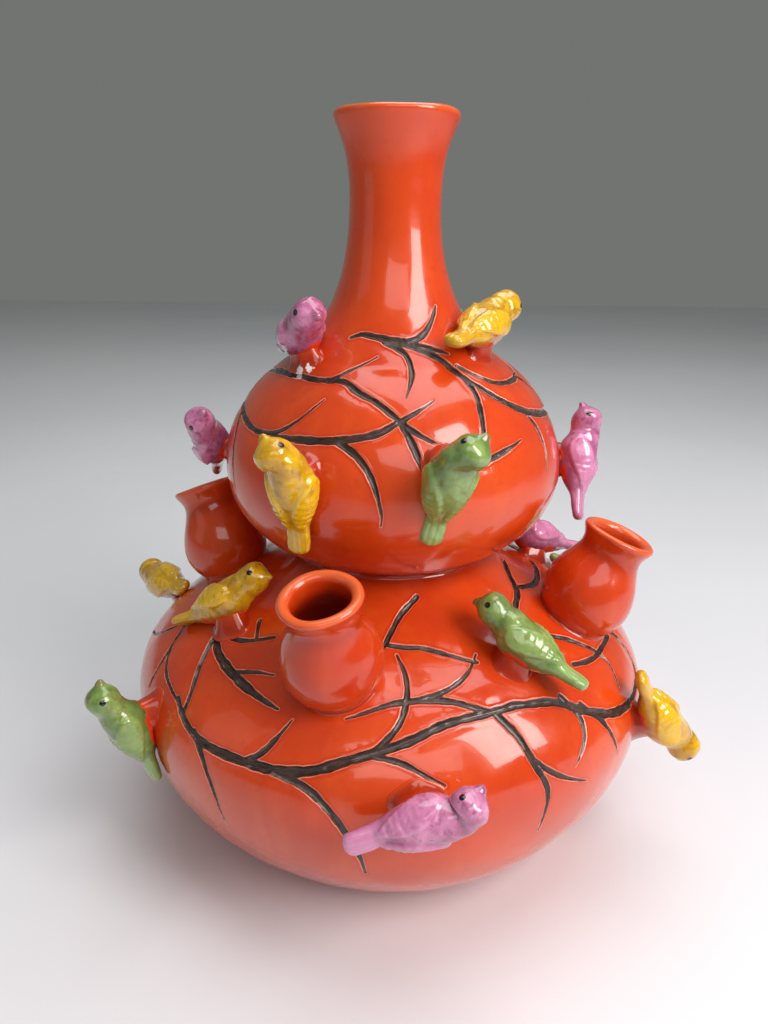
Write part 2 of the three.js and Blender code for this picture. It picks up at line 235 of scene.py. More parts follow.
# Each branch: its width from one end to the other, and the points that it passes as
# (azimuth, height). A branch that starts on another one starts wide.
BULB_BRANCHES = [
    ([1.6, 3.6, 4.6, 3.4, 1.4], [(-30, 306), (-22, 308), (-11, 307), (3, 305), (23, 302), (34, 299)]),
    ([3.6, 3, 1.2], [(8, 305), (17, 307), (25, 311), (33, 317), (38, 322)]),
    ([3.2, 3, 2.6, 0.8], [(-6, 305), (2, 302), (7, 299), (9, 292), (5, 281)]),
    ([4.4, 3.6, 3.2, 3, 2.4], [(6, 305), (18, 301), (27, 297), (33, 291), (35, 283), (33, 273),
                               (30, 260)]),
    ([3.4, 4, 4.2, 3.8], [(30, 293), (37, 286), (46, 277), (56, 270), (70, 265), (90, 262)]),
    ([2.6, 3, 2.8, 2.4], [(36, 293), (43, 288), (52, 284), (66, 283), (77, 285), (84, 291), (86, 299)]),
    ([3, 2.4, 0.8], [(56, 269), (59, 260), (59, 249), (57, 238)]),
    ([3, 3.4, 3], [(74, 283), (82, 277), (90, 268)]),
    ([3.2, 4, 3.2, 0.8], [(-90, 283), (-70, 286), (-50, 287), (-32, 287), (-21, 292), (-9, 298)]),
    ([3.6, 3.6, 3.2, 2.6, 1.6], [(-31, 287), (-22, 287), (-14, 283), (-6, 279), (2, 272), (9, 265),
                                 (18, 258)]),
    ([2.6, 3.8, 3.8, 3.2, 0.8], [(-43, 259), (-34, 260), (-24, 261), (-14, 263), (-5, 266), (2, 271),
                                 (16, 280)]),
    ([3, 3.6, 2.6], [(3, 270), (6, 262), (9, 250)]),
    ([3.4, 3.4, 2.4, 0.6], [(-18, 262), (-11, 256), (-6, 246), (-3, 230), (-3, 222)]),
    ([3.6, 3.6, 2.4, 0.8], [(-90, 266), (-73, 264), (-57, 260), (-46, 260), (-37, 265), (-27, 279)]),
    ([3, 2.4, 0.8], [(-74, 263), (-68, 252), (-63, 238), (-60, 224)]),
    ([3, 2.6, 2.2], [(-88, 283), (-84, 274), (-90, 264)]),
    ([3.4, 2.8, 0.8], [(28, 251), (36, 254), (46, 258)]),
]
BELLY_BRANCHES = [
    ([3, 4.4, 4.6, 4.4, 4.2, 3.8], [(-50, 120), (-44, 114), (-38, 111), (-30, 111), (-21, 112), (-14, 115),
                                    (-7, 121), (4, 128), (13, 133), (28, 134)]),
    ([3.8, 4.4, 4.6, 4, 3.4], [(28, 134), (38, 130), (46, 120), (54, 112), (65, 107), (73, 110), (76, 120),
                               (76, 131), (72, 140)]),
    ([3.6, 2.8, 0.6], [(-41, 113), (-37, 104), (-34, 90), (-32, 68)]),
    ([3.4, 2.8, 0.8], [(-27, 112), (-24, 118), (-20, 131)]),
    ([4, 3.6, 3, 1.2], [(-22, 112), (-15, 108), (-11, 101), (-8, 91), (-5, 73), (-4, 58)]),
    ([3, 2.6, 1.6], [(-3, 123), (3, 120), (10, 111)]),
    ([2.8, 3, 2.8, 1.4], [(-3, 124), (2, 133), (4, 141), (4, 147), (2, 152)]),
    ([1, 3, 3.4, 3], [(-9, 134), (0, 139), (7, 140), (14, 139), (22, 134)]),
    ([2.8, 2.6, 1], [(5, 140), (13, 142), (19, 145), (25, 150)]),
    ([2.4, 3, 2], [(-4, 155), (4, 154), (12, 153), (24, 148)]),
    ([4, 3.6, 2.8, 0.8], [(23, 133), (26, 124), (28, 111), (30, 96), (29, 72)]),
    ([3, 2.4, 0.8], [(28, 113), (33, 102), (40, 91)]),
    ([3.4, 2.8, 0.8], [(40, 131), (42, 122), (41, 113), (37, 103)]),
    ([3.4, 2.8, 0.8], [(44, 125), (48, 113), (51, 92)]),
    ([2.6, 3.4, 2.6, 0.8], [(46, 150), (52, 147), (58, 141), (62, 131), (59, 119)]),
    ([2.8, 3, 2.6], [(50, 137), (58, 134), (67, 133), (73, 132)]),
    ([3.6, 4.8, 4.6, 1.2], [(-55, 144), (-50, 141), (-44, 139), (-34, 136), (-24, 133)]),
    ([3, 2.8, 2.6], [(-56, 145), (-51, 135), (-47, 125), (-46, 116)]),
    ([2, 2.6, 2], [(-72, 141), (-68, 135), (-65, 127), (-63, 111)]),
    ([2.4, 2.2, 1.4], [(-65, 129), (-60, 123), (-50, 119)]),
    ([2, 2.2, 1.2], [(-84, 116), (-77, 124), (-70, 138)]),
    ([2.8, 3, 2], [(-54, 145), (-45, 147), (-37, 151)]),
    ([2.2, 2], [(-47, 153), (-42, 149)]),
    ([2.6, 2.2, 1], [(-41, 138), (-34, 141), (-29, 142)]),
    ([2.6, 3, 2.6], [(-90, 104), (-80, 104), (-74, 98), (-76, 86)]),
    ([3.4, 4, 3.6, 1.4], [(80, 168), (71, 165), (62, 160), (52, 157), (47, 152)]),
    ([3.6, 4, 3.4], [(66, 160), (76, 157), (90, 156)]),
    ([3, 3, 2.4], [(12, 169), (5, 164), (1, 159), (-2, 154)]),
]
CLEAR = 9.0  # further than this from a branch nothing changes
SAMPLE = 0.5
STRETCH = 70  # samples looked at together
SPREAD = 1.15  # a groove's width at the skin, for each unit of the widths above
GROOVE_DEPTH = 0.8  # for each unit of half width
LIFTED_EDGE = 0.14  # the clay pushed up beside a groove
VALLEY_DEPTH = 0.45  # and the shallow hollow beyond it
VALLEY_REACH = 4.2


def round_the_back(branches):
    """The same growth carried on round the back, where it wanders to other heights and places."""
    back = []
    for widths, points in branches:
        moved = []
        for azimuth, height in points:
            away = math.cos(math.radians(azimuth))
            bend = math.sin(math.radians(2.3 * azimuth + height))
            moved.append((180 - azimuth + 7 * away * bend, height - 5 * away * (1 + bend)))
        back.append((widths, moved))
    return back


def sampled(widths, points):
    """A branch as close points: place, run so far, half width and direction."""
    curve = through(points, 24)
    heights = curve[:, 1]
    places = azimuth_vector(curve[:, 0]) * radius_at(heights)[:, None]
    places[:, 2] = heights
    places = evenly(places, SAMPLE)
    run = lengths_along(places)
    share = run / run[-1]
    half = SPREAD * np.interp(share, np.linspace(0, 1, len(widths)), widths) / 2
    half *= 1 + 0.07 * np.sin(run / 3.1 + len(points)) + 0.05 * np.sin(run / 1.3)
    return places, run, half, np.gradient(places, axis=0)


class Carving:
    """Everything that the branches do to points on the vase's skin."""

    def __init__(self, branches):
        self.stretches = []
        for widths, points in branches:
            branch = sampled(widths, points)
            for first in range(0, len(branch[0]), STRETCH):
                self.stretches.append([part[first : first + STRETCH + 1] for part in branch])

    def at(self, points, outward):
        count = len(points)
        edge = np.full(count, CLEAR)
        along = np.zeros(count)
        across = np.zeros(count)
        depth = np.zeros(count)
        rim = np.zeros(count)
        valley = np.zeros(count)
        for places, run, half, direction in self.stretches:
            low = places.min(0) - CLEAR
            high = places.max(0) + CLEAR
            near = np.flatnonzero(((points > low) & (points < high)).all(1))
            if not len(near):
                continue
            here = points[near]
            gaps = np.linalg.norm(here[:, None, :] - places[None, :, :], axis=2)
            closest = gaps.argmin(1)
            gap = gaps[np.arange(len(near)), closest]
            width = half[closest]
            share = gap / width
            cut = GROOVE_DEPTH * width * (1 - smooth(share, 0.35, 1.08))
            swelling = LIFTED_EDGE * np.minimum(width, 1.6) * np.exp(-(((share - 1.3) / 0.28) ** 2))
            hollow = VALLEY_DEPTH * smooth(width, 0.8, 2) * np.exp(-(((gap - width) / VALLEY_REACH) ** 2))
            side = np.cross(direction[closest], here - places[closest])
            sign = np.sign((side * outward[near]).sum(1))
            nearer = gap - width < edge[near]
            chosen = near[nearer]
            edge[chosen] = (gap - width)[nearer]
            along[chosen] = run[closest][nearer]
            across[chosen] = (gap * sign)[nearer]
            depth[near] = np.maximum(depth[near], cut)
            rim[near] = np.maximum(rim[near], swelling)
            valley[near] = np.maximum(valley[near], hollow)
        return edge, along, across, depth, rim * (1 - smooth(depth, 0, 0.4)) - valley


# ------------------------------------------------------------------ mesh making


def mesh_piece(name, points, faces, material, attributes=None, normals=None):
    """A smooth-shaded mesh object from points in millimetres, with its values kept per point."""
    mesh = bpy.data.meshes.new(name)
    mesh.from_pydata((np.asarray(points) * MM).tolist(), [], faces)
    mesh.polygons.foreach_set("use_smooth", [True] * len(mesh.polygons))
    for key, values in (attributes or {}).items():
        kind = "FLOAT_VECTOR" if np.ndim(values) == 2 else "FLOAT"
        layer = mesh.attributes.new(key, kind, "POINT")
        layer.data.foreach_set("vector" if kind == "FLOAT_VECTOR" else "value", np.ravel(values))
    mesh.materials.append(material)
    if normals is not None:
        mesh.normals_split_custom_set_from_vertices(normals.tolist())
    mesh.update()
    piece = bpy.data.objects.new(name, mesh)
    bpy.context.scene.collection.objects.link(piece)
    return piece


def pairs_round(columns):
    """Each column with the next one, all the way round."""
    return [(column, (column + 1) % columns) for column in range(columns)]


def angles_round(columns):
    return np.arange(columns) * 2 * np.pi / columns


def grid_faces(rows, columns, first=0):
    """Quads over rows of points that close round on themselves."""
    faces = []
    for row in range(rows - 1):
        low = first + row * columns
        high = low + columns
        for column, after in pairs_round(columns):
            faces.append((low + column, low + after, high + after, high + column))
    return faces


def capped_grid(rows, columns):
    """Quads over rings of points, closed by a fan to one more point at each end."""
    faces = grid_faces(rows, columns)
    start = rows * columns
    last = (rows - 1) * columns
    for column, after in pairs_round(columns):
        faces.append((start, after, column))
        faces.append((start + 1, last + column, last + after))
    return faces


def finished(piece, node):
    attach(piece, "root")
    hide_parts(node)


def glazed(count, **values):
    """The values that the orange glaze reads, on a piece with nothing carved in it."""
    plain = {
        "edge": np.full(count, CLEAR),
        "along": np.zeros(count),
        "across": np.zeros(count),
        "thin": np.zeros(count),
        "pooled": np.zeros(count),
    }
    return plain | values


# ------------------------------------------------------------------ the vase's four sections

COLUMNS = 464
INNER_COLUMNS = 116
ROW_STEP = 2.1
LIP_STEP = 0.8
REFINED_WITHIN = 2.4
SECTIONS = ["belly_bowl", "belly_shoulder", "upper_bulb", "neck"]


def row_marks():
    """Lengths along the outline of the skin's rows, and the row where each section starts."""
    lip_start = length_at(HEIGHT - 2.2 * LIP_RADIUS)
    stops = [*(length_at(height) for height in JOINTS), lip_start, ALONG[-1]]
    steps = [ROW_STEP] * len(JOINTS) + [LIP_STEP]
    marks = []
    starts = []
    for low, high, step in zip(stops, stops[1:], steps):
        starts.append(len(marks))
        marks += list(np.linspace(low, high, round((high - low) / step) + 1)[:-1])
    return np.array([*marks, stops[-1]]), starts[: len(JOINTS)]


class Skin:
    """The vase's whole outside as one grid that is finer along the branches."""

    def __init__(self, carving):
        marks, self.starts = row_marks()
        self.rows = len(marks) - 1
        self.starts.append(self.rows)
        self.fine_columns = COLUMNS * PARTS
        fine = np.interp(np.arange(self.rows * PARTS + 1) / PARTS, np.arange(len(marks)), marks)
        self.refined = self.cells_near_branches(marks, carving)
        self.index = self.numbered()
        row, column = np.nonzero(self.index >= 0)
        azimuth = column * 360 / self.fine_columns
        base, outward = on_vase(azimuth, fine[row])
        edge, along, across, depth, rim = carving.at(base, outward)
        uneven = 0.45 * ripples(base, 90, 1) + 0.12 * ripples(base, 26, 2)
        uneven *= smooth(base[:, 2], 0, 25)
        self.points = base + outward * (uneven + rim - depth)[:, None]
        lip = length_at(HEIGHT - LIP_RADIUS) + LIP_RADIUS
        crest = np.exp(-(((fine[row] - lip) / 2.6) ** 2))
        # Painted shade in the crease under the bulb, laid on as a darker band of glaze.
        under_bulb = np.exp(-(((base[:, 2] - 177) / 5) ** 2))
        self.values = glazed(
            len(base), edge=edge, along=along, across=across, thin=crest, pooled=0.8 * under_bulb
        )
        self.faces = [self.row_faces(row) for row in range(self.rows)]
        self.normals = self.shading()

    def cells_near_branches(self, marks, carving):
        middle = (marks[:-1] + marks[1:]) / 2
        azimuth = (np.arange(COLUMNS) + 0.5) * 360 / COLUMNS
        azimuth, middle = np.meshgrid(azimuth, middle)
        points, outward = on_vase(azimuth.ravel(), middle.ravel())
        edge = carving.at(points, outward)[0]
        return (edge < REFINED_WITHIN).reshape(self.rows, COLUMNS)

    def numbered(self):
        used = np.zeros((self.rows * PARTS + 1, self.fine_columns), bool)
        used[::PARTS, ::PARTS] = True
        for row, column in zip(*np.nonzero(self.refined)):
            columns = (np.arange(PARTS + 1) + column * PARTS) % self.fine_columns
            used[row * PARTS : (row + 1) * PARTS + 1, columns] = True
        index = np.full(used.shape, -1)
        index[used] = np.arange(used.sum())
        return index

    def at(self, row, column):
        return self.index[row, column % self.fine_columns]

    def row_faces(self, row):
        faces = []
        low, high = row * PARTS, (row + 1) * PARTS
        for column in range(COLUMNS):
            left, right = column * PARTS, (column + 1) * PARTS
            if self.refined[row, column]:
                for y in range(low, high):
                    for x in range(left, right):
                        corners = [(y, x), (y, x + 1), (y + 1, x + 1), (y + 1, x)]
                        faces.append(tuple(int(self.at(*corner)) for corner in corners))
                continue
            walk = [(low, x) for x in range(left, right)] + [(y, right) for y in range(low, high)]
            walk += [(high, x) for x in range(right, left, -1)]
            walk += [(y, left) for y in range(high, low, -1)]
            found = [int(self.at(y, x)) for y, x in walk]
            faces.append(tuple(i for i in found if i >= 0))
        return faces

    def shading(self):
        mesh = bpy.data.meshes.new("skin")
        every = [face for row in self.faces for face in row]
        mesh.from_pydata(self.points.tolist(), [], every)
        normals = np.zeros(len(self.points) * 3)
        mesh.vertex_normals.foreach_get("vector", normals)
        bpy.data.meshes.remove(mesh)
        return normals.reshape(-1, 3)

    def rim_between(self, row, inner_column):
        """Points of a row, from one inner column to the next, both included."""
        width = self.fine_columns // INNER_COLUMNS
        columns = range(inner_column * width, (inner_column + 1) * width + 1)
        found = [int(self.at(row * PARTS, column)) for column in columns]
        return [i for i in found if i >= 0]


def inner_profile(number, wall):
    """The inside of a section from its top down, as (radius, height)."""
    low = length_at(JOINTS[number])
    high = ALONG[-1] if number == len(JOINTS) - 1 else length_at(JOINTS[number + 1])
    inside = high - (12 if number == len(JOINTS) - 1 else 0)
    marks = np.linspace(inside, low, max(6, round((inside - low) / 7)))
    radius, height = (np.interp(marks, ALONG, OUTLINE[:, i]) for i in (0, 1))
    slope_r, slope_z = (np.interp(marks, ALONG, SLOPE[:, i]) for i in (0, 1))
    profile = np.stack([radius - wall * slope_z, height + wall * slope_r], 1)
    if number == 0:
        profile = profile[profile[:, 1] > FLOOR + 5]
        profile = np.vstack([profile, (profile[-1, 0] - 8, FLOOR), (50, FLOOR), (18, FLOOR)])
    if number == len(JOINTS) - 1:
        profile = profile[profile[:, 1] < HEIGHT - 2.6 * LIP_RADIUS]
    return profile


def section(skin, number, material, bare):
    """One section as a closed piece: outside, joint faces, inside."""
    name = SECTIONS[number]
    first, last = skin.starts[number], skin.starts[number + 1]
    outer = [face for row in skin.faces[first:last] for face in row]
    used = np.unique(np.concatenate([np.array(face) for face in outer]))
    renumbered = np.full(len(skin.points), -1)
    renumbered[used] = np.arange(len(used))
    faces = [tuple(int(renumbered[i]) for i in face) for face in outer]
    profile = inner_profile(number, WALLS[name])
    azimuth = np.arange(INNER_COLUMNS) * 360 / INNER_COLUMNS
    rings = profile[:, :1, None] * azimuth_vector(azimuth)[None]
    rings[:, :, 2] = profile[:, 1:]
    inner = rings.reshape(-1, 3)
    start = len(used)
    inner_outward = np.tile(-azimuth_vector(azimuth), (len(profile), 1))
    last_ring = start + (len(profile) - 1) * INNER_COLUMNS
    points = [skin.points[used], inner]
    normals = [skin.normals[used], inner_outward]
    for column, after in pairs_round(INNER_COLUMNS):
        top = [int(renumbered[i]) for i in skin.rim_between(last, column)]
        faces.append((*top, start + after, start + column))
        if number:
            bottom = [int(renumbered[i]) for i in skin.rim_between(first, column)]
            faces.append((*bottom[::-1], last_ring + column, last_ring + after))
    faces += grid_faces(len(profile), INNER_COLUMNS, start)
    glazed_faces = len(faces)
    if not number:
        middles = np.array([[0, 0, FLOOR], [0, 0, UNDERSIDE]])
        underside = azimuth_vector(azimuth) * (BASE_RADIUS - FOOT_RING)
        underside[:, 2] = UNDERSIDE
        points += [middles, underside]
        normals += [np.array([[0, 0, 1], [0, 0, -1]]), np.tile([0, 0, -1], (INNER_COLUMNS, 1))]
        floor_middle = start + len(inner)
        base_middle = floor_middle + 1
        ring = base_middle + 1
        for column, after in pairs_round(INNER_COLUMNS):
            faces.append((floor_middle, last_ring + column, last_ring + after))
        glazed_faces = len(faces)
        for column, after in pairs_round(INNER_COLUMNS):
            bottom = [int(renumbered[i]) for i in skin.rim_between(first, column)]
            faces.append((*bottom[::-1], ring + column, ring + after))
            faces.append((base_middle, ring + after, ring + column))
    points = np.vstack(points)
    inner_zeros = np.zeros(len(points) - len(used))
    values = {key: np.r_[value[used], inner_zeros] for key, value in skin.values.items()}
    values["edge"][len(used) :] = CLEAR
    # The inside is darkened all over: painted shade inside the vase.
    values["pooled"][len(used) :] = 1
    piece = mesh_piece(name + "_glazed", points, faces, material, values, np.vstack(normals))
    piece.data.materials.append(bare)
    for polygon in piece.data.polygons[glazed_faces:]:
        polygon.material_index = 1
    finished(piece, name)


# ------------------------------------------------------------------ pots and their clay rings

POT_COLUMNS = 96


def pot_axes(azimuth, height, lean, towards):
    """Foot and axes of a pot that leans outwards."""
    tilt = math.radians(lean)
    z = azimuth_vector(towards) * math.sin(tilt) + np.array([0, 0, math.cos(tilt)])
    y = azimuth_vector(towards + 90)
    foot = azimuth_vector(azimuth) * radius_at(height) + np.array([0, 0, height])
    return foot, np.array([np.cross(y, z), y, z])


def pot_outline():
    """The pot's profile from the middle of its foot, over the lip, to the middle of its floor."""
    belly = through([POT_ROOT, *POT_OUTSIDE, *POT_LIP, *POT_INSIDE, (12, POT_FLOOR + 0.6)], 7)
    return softened(evenly(np.vstack([(0, POT_ROOT[1]), belly, (0, POT_FLOOR)]), 0.9), 1)


def make_pot(name, place, material, seed):
    foot, axes = pot_axes(**place)
    profile = pot_outline()[1:-1]
    around = angles_round(POT_COLUMNS)
    random = np.random.default_rng(seed)
    oval = 1 + 0.014 * np.sin(2 * around + random.uniform(0, 6))
    oval += 0.007 * np.sin(3 * around + random.uniform(0, 6))
    ring = np.stack([np.cos(around) * oval, np.sin(around) * oval], 1)
    local = np.zeros((len(profile), POT_COLUMNS, 3))
    local[:, :, :2] = profile[:, :1, None] * ring
    local[:, :, 2] = profile[:, 1:]
    sway = 0.5 * np.sin(around + random.uniform(0, 6))
    sway += 0.25 * np.sin(2 * around + random.uniform(0, 6))
    local[:, :, 2] += smooth(profile[:, 1:], 25, 55) * sway
    local = np.vstack([local.reshape(-1, 3), [[0, 0, POT_ROOT[1]], [0, 0, POT_FLOOR]]])
    local += 0.22 * ripples(local, 24, seed)[:, None] * np.array([1, 1, 0])
    height = local[:, 2]
    radius = np.hypot(local[:, 0], local[:, 1])
    lip_top = int(np.argmax(profile[:, 1]))
    inside = np.r_[np.repeat(np.arange(len(profile)) > lip_top + 6, POT_COLUMNS), [False, True]]
    thin = smooth(height, 53, 56) * (1 - 0.6 * smooth(radius, 19.5, 21.4))
    # Painted shade: darker deeper inside the pot, and a darker band round its narrow neck, partly glaze
    # pooled there.
    pooled = np.where(inside, smooth(55 - height, 1, 12), 0.5 * np.exp(-(((height - 43) / 4) ** 2)))
    faces = capped_grid(len(profile), POT_COLUMNS)
    values = glazed(len(local), thin=thin, pooled=pooled)
    piece = mesh_piece(name + "_glazed", foot + local @ axes, faces, material, values)
    finished(piece, name)


def meets_vase(start, direction, low=-40.0, high=40.0):
    """How far along each direction the vase's skin lies, from a point inside to one outside."""
    low = np.full(len(start), low)
    high = np.full(len(start), high)
    for _ in range(30):
        middle = (low + high) / 2
        at = start + direction * middle[:, None]
        inside = np.hypot(at[:, 0], at[:, 1]) < radius_at(at[:, 2])
        low = np.where(inside, middle, low)
        high = np.where(inside, high, middle)
    return (low + high) / 2


def fillet(bottom, corner, top, steps=12):
    share = np.linspace(0, 1, steps)[:, None, None]
    return bottom * (1 - share) ** 2 + corner * 2 * share * (1 - share) + top * share**2


def shoulder_line(foot, ray, up, outside):
    """The height on a pot, all the way round, where it comes out of the shoulder."""
    skin = foot + ray[None] * outside[:, :1, None] + up * outside[:, 1:, None]
    buried = np.hypot(skin[..., 0], skin[..., 1]) < radius_at(skin[..., 2])
    highest = np.max(np.where(buried, outside[:, 1:], outside[0, 1]), axis=0)
    nearby = [np.roll(highest, shift) for shift in range(-4, 5)]
    return np.mean(nearby, axis=0)


def make_clay_ring(name, place, material, seed):
    foot, axes = pot_axes(**place)
    around = angles_round(POT_COLUMNS)
    ray = np.stack([np.cos(around), np.sin(around), 0 * around], 1) @ axes
    up = axes[2]
    wobble = 0.4 * np.sin(3 * around + seed) + 0.3 * np.sin(5 * around + 2 * seed)

    def on_skin(radius, lift):
        start = foot + ray * radius
        return start + up * (meets_vase(start, np.tile(up, (len(start), 1))) + lift)[:, None]

    pot = pot_outline()
    outside = pot[: int(np.argmax(pot[:, 0])) + 1]
    level = shoulder_line(foot, ray, up, outside)
    touching = np.interp(level, outside[:, 1], outside[:, 0])
    reach = (touching + 2.4 + wobble)[:, None]
    bottom = on_skin(reach, -0.25)
    corner = on_skin((touching + 0.6)[:, None], 0.15)
    wall_height = level + 2.2 + wobble
    at_wall = np.interp(wall_height, outside[:, 1], outside[:, 0]) + 0.15
    top = foot + ray * at_wall[:, None] + up * wall_height[:, None]
    slope = fillet(bottom, corner + 0.25 * (top - corner), top)
    buried = [foot + ray * (at_wall - 2.5)[:, None] + up * wall_height[:, None]]
    buried.append(on_skin(17.0, -3.0))
    buried.append(on_skin(reach - 1.0, -3.0))
    loop = np.concatenate([slope, np.array(buried)])
    faces = grid_faces(len(loop), POT_COLUMNS)
    last = (len(loop) - 1) * POT_COLUMNS
    for column, after in pairs_round(POT_COLUMNS):
        faces.append((last + column, last + after, after, column))
    points = loop.reshape(-1, 3)
    share = np.repeat(np.r_[np.linspace(0, 1, len(slope)), [1, 1, 1]], POT_COLUMNS)
    # Painted shade along the ring's slope, where it fills the corner between the pot and the shoulder,
    # partly glaze pooled there.
    values = glazed(len(points), pooled=0.9 * np.sin(np.pi * np.clip(share, 0, 1)))
    piece = mesh_piece(name + "_glazed", points, faces, material, values)
    finished(piece, name)


# ------------------------------------------------------------------ birds and their pads

BIRD_COLUMNS = 84
# From tail to beak: forward, above the wall, half width, half depth.
BIRD_SECTIONS = [
    (-38.5, 10.5, 2.6, 1.5),
    (-37.6, 10.5, 4.4, 2.5),
    (-36, 10.5, 5.6, 3.1),
    (-33, 10.6, 6.0, 3.4),
    (-27, 10.8, 6.0, 3.7),
    (-22, 11.1, 6.1, 4.6),
    (-17.5, 11.7, 7.6, 6.6),
    (-12, 12.5, 9.5, 9.2),
    (-5, 13.4, 10.8, 11.2),
    (4, 14.6, 11.4, 12.3),
    (10, 16.7, 10.6, 11.5),
    (14, 19.2, 9.5, 10),
    (18, 21.2, 9.3, 9.4),
    (22.5, 22.4, 9.3, 9.2),
    (26.2, 22.5, 7.9, 7.6),
    (28.6, 22, 5.4, 4.9),
    (30.2, 21.4, 3.4, 3.1),
    (31.8, 20.9, 2.3, 2.1),
    (32.8, 20.6, 1.3, 1.2),
]
TAIL_END = (-38.8, 10.5)
BEAK_END = (33.2, 20.5)
EYE = (24.4, 8.3, 25)
EYE_RADIUS = 1.7


def wall_axes(azimuth, height, heading=0, pitch=0, roll=0):
    """Foot and axes of a bird on the wall: forward, to its left, away from the wall."""
    at, outward = on_vase(np.array(azimuth), length_at(height))
    side = azimuth_vector(azimuth + 90)
    uphill = np.cross(outward, side)
    turned = math.radians(heading)
    forward = uphill * math.cos(turned) + side * math.sin(turned)
    level = np.array([forward, np.cross(outward, forward), outward])
    tilt = math.radians(pitch)
    lean = math.radians(roll)
    pitched = [[math.cos(tilt), 0, math.sin(tilt)], [0, 1, 0], [-math.sin(tilt), 0, math.cos(tilt)]]
    rolled = [[1, 0, 0], [0, math.cos(lean), math.sin(lean)], [0, -math.sin(lean), math.cos(lean)]]
    return at, np.array(rolled) @ np.array(pitched) @ level


def bird_relief(x, y, from_back, top_side):
    """Height of wings, feathers, tail grooves and neck fold over the plain body."""
    length = (x + 6.5) / 17.5
    middle = 58 + 1.75 * (x + 6)
    spread = (from_back - middle) / 40
    wing = smooth(1 - length**2 - spread**2, 0, 0.3)
    row = np.hypot(x - 5, 0.22 * (from_back - middle))
    feathers = 0.5 + 0.5 * np.cos(2 * np.pi * row / 3.3)
    feathered = smooth(-x, -3, 7) * wing
    quills = 0.5 + 0.5 * np.cos(2 * np.pi * spread * 2.4)
    relief = 1.7 * wing - 0.42 * feathered * feathers**3 - 0.3 * smooth(-x, 8, 14) * wing * quills**3
    tail = smooth(-x, 19, 24) * top_side
    relief -= 0.3 * tail * (0.5 + 0.5 * np.cos(2 * np.pi * y / 3.4)) ** 2
    relief -= 0.4 * np.exp(-(((x - 13.2) / 2.2) ** 2)) * (0.35 + 0.65 * top_side)
    relief -= 0.3 * np.exp(-(((x + 18.5) / 1.6) ** 2)) * top_side
    return relief


def make_bird(name, place, turn, material, seed):
    at, axes = wall_axes(*place)
    sections = through(BIRD_SECTIONS, 7)
    around = angles_round(BIRD_COLUMNS)
    x, z, half_width, half_depth = (sections[:, i, None] for i in range(4))
    squareness = 1 - 0.16 * smooth(-x, 16, 24)
    cosine, sine = np.cos(around)[None], np.sin(around)[None]
    y = half_width * np.sign(cosine) * np.abs(cosine) ** squareness
    lift = half_depth * np.sign(sine) * np.abs(sine) ** squareness
    from_back = np.degrees(np.arctan2(np.abs(cosine), sine))
    top_side = smooth(sine, -0.1, 0.5)
    forward = np.broadcast_to(x, y.shape)
    relief = bird_relief(forward, y, from_back, top_side)
    outward = np.stack([0 * y, cosine / half_width + 0 * y, sine / half_depth + 0 * y], 2)
    outward /= np.linalg.norm(outward, axis=2)[:, :, None]
    rest = np.stack([forward, y, z + lift], 2)
    flat = rest.reshape(-1, 3)
    uneven = 0.28 * ripples(flat, 15, seed) + 0.1 * ripples(flat, 5, seed + 50)
    one_sided = np.stack([flat[:, 0], np.abs(flat[:, 1]), flat[:, 2]], 1)
    eye = np.exp(-((np.linalg.norm(one_sided - EYE, axis=1) / 1.1) ** 2))
    height_over = relief.reshape(-1) + uneven * smooth(half_width + 0 * y, 1, 4).reshape(-1) + 0.3 * eye
    shaped = flat + outward.reshape(-1, 3) * height_over[:, None]
    ends = np.array([[TAIL_END[0], 0, TAIL_END[1]], [BEAK_END[0], 0, BEAK_END[1]]])
    rest_all = np.vstack([flat, ends])
    shaped = np.vstack([shaped, ends])
    bend = np.radians(turn) * smooth(shaped[:, 0], NECK_JOINT_X, TURNED_AT_X)
    ahead = shaped[:, 0] - NECK_JOINT_X
    turned = shaped.copy()
    turned[:, 0] = NECK_JOINT_X + ahead * np.cos(bend) - shaped[:, 1] * np.sin(bend)
    turned[:, 1] = ahead * np.sin(bend) + shaped[:, 1] * np.cos(bend)
    faces = capped_grid(len(sections), BIRD_COLUMNS)
    values = {"rest": rest_all, "relief": np.r_[relief.reshape(-1), 0, 0]}
    piece = mesh_piece("bird_" + name + "_glazed", at + turned @ axes, faces, material, values)
    finished(piece, "bird_" + name)


PAD_COLUMNS = 64


